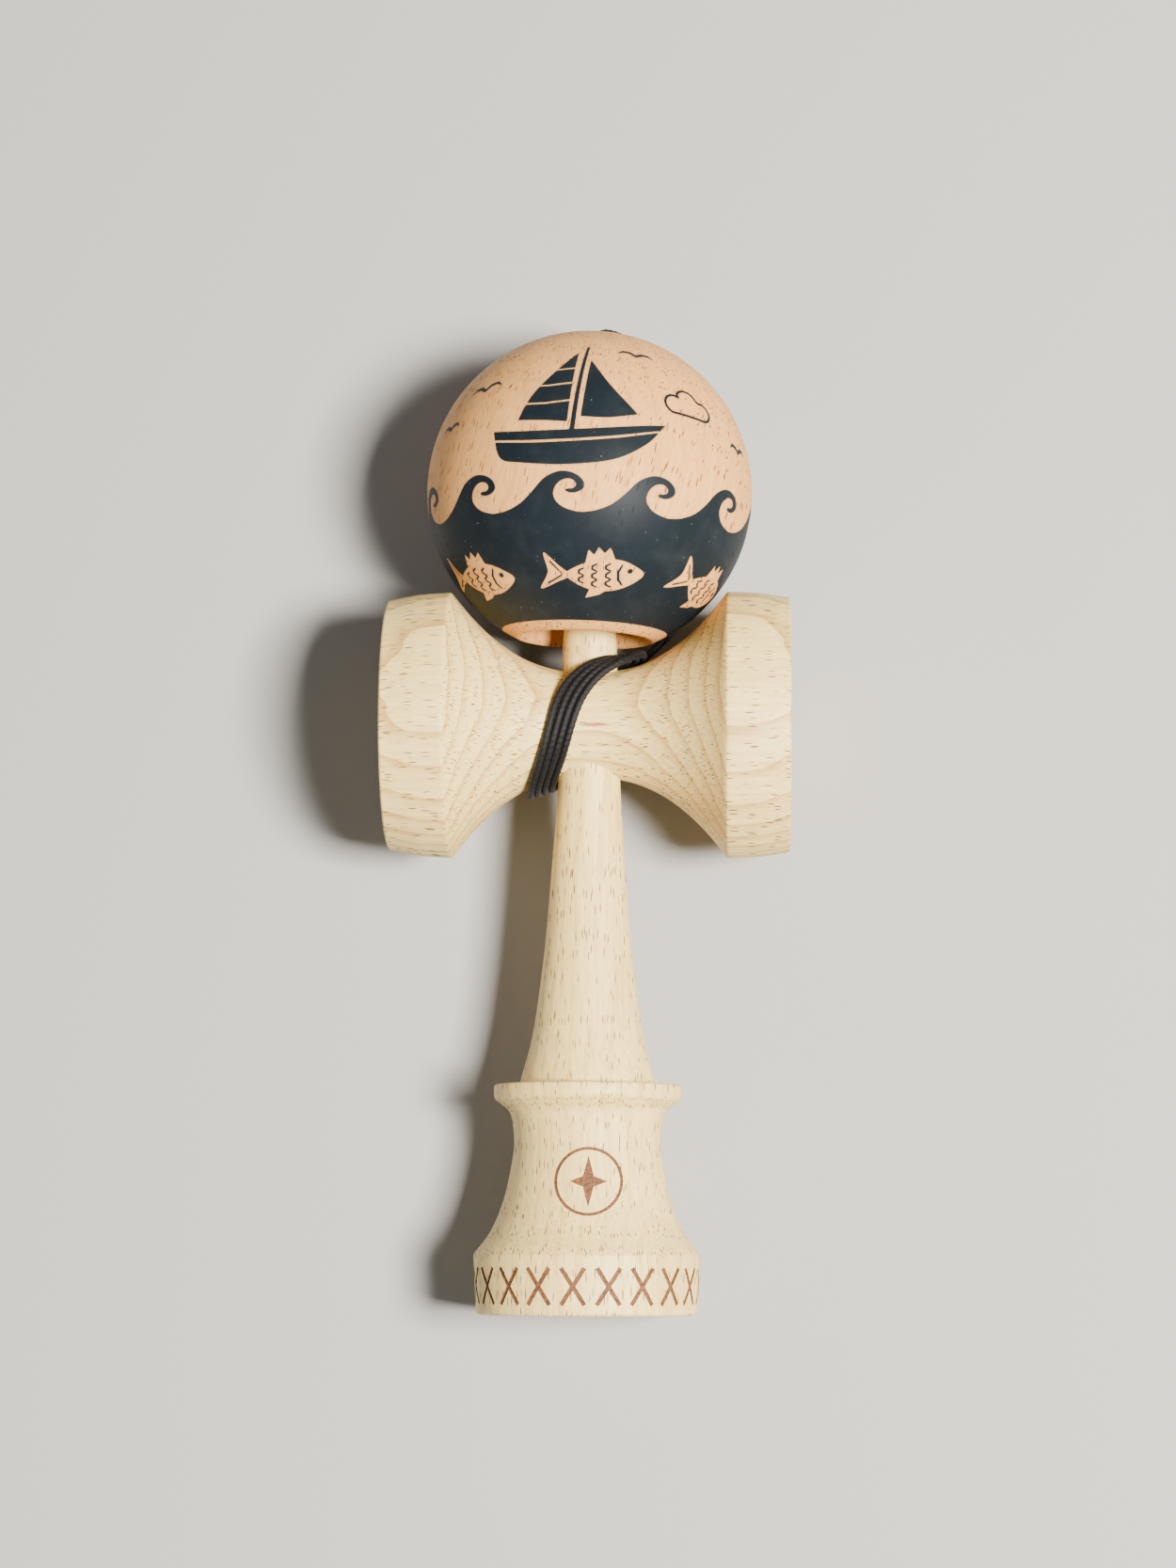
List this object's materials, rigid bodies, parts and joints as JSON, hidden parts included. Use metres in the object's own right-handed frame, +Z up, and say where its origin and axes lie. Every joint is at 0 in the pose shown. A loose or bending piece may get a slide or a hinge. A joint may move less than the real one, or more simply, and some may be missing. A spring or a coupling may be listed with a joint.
{
  "type": "kendama",
  "caption": "Wooden cup-and-ball skill toy: a spiked turned handle, a cross piece with cups at its ends and a bored ball on a wound string.",
  "frame": {"origin": "on the floor below the middle of the toy as it lies on its side", "axes": "+Z up, +Y along the length from the handle's base to the ball, +X across, along the cross piece towards its small cup"},
  "size_m": [0.074, 0.1824, 0.06],
  "materials": {
    "beech": "fine sanded bare beech",
    "ball_paint": "matte dark paint over bare wood",
    "bead_wood": "sanded bare wood",
    "string": "braided black cord"
  },
  "bodies": {
    "ken": {"ken": "beech", "sarado": "beech", "string_wraps": "string", "string_core": "string", "ken_knot": "string"},
    "string_end": {"string_leader": "string", "bead_knot": "string"},
    "tama": {"tama": "ball_paint"},
    "bead": {"bead": "bead_wood"}
  },
  "joints": [
    {"name": "tama_lift", "type": "slide", "parent": "ken", "child": "string_end", "axis": [0, 0.9992, 0.0402], "range_m": [0, 0.045]},
    {"name": "tama_spin", "type": "hinge", "parent": "string_end", "child": "tama", "pos_m": [0, 0.0606, 0.03], "axis": [0.0332, 0.9977, 0.0593], "continuous": true},
    {"name": "bead_spin", "type": "hinge", "parent": "string_end", "child": "bead", "pos_m": [0.00068, 0.08105, 0.03121], "axis": [0.0332, 0.9977, 0.0593], "continuous": true}
  ]
}
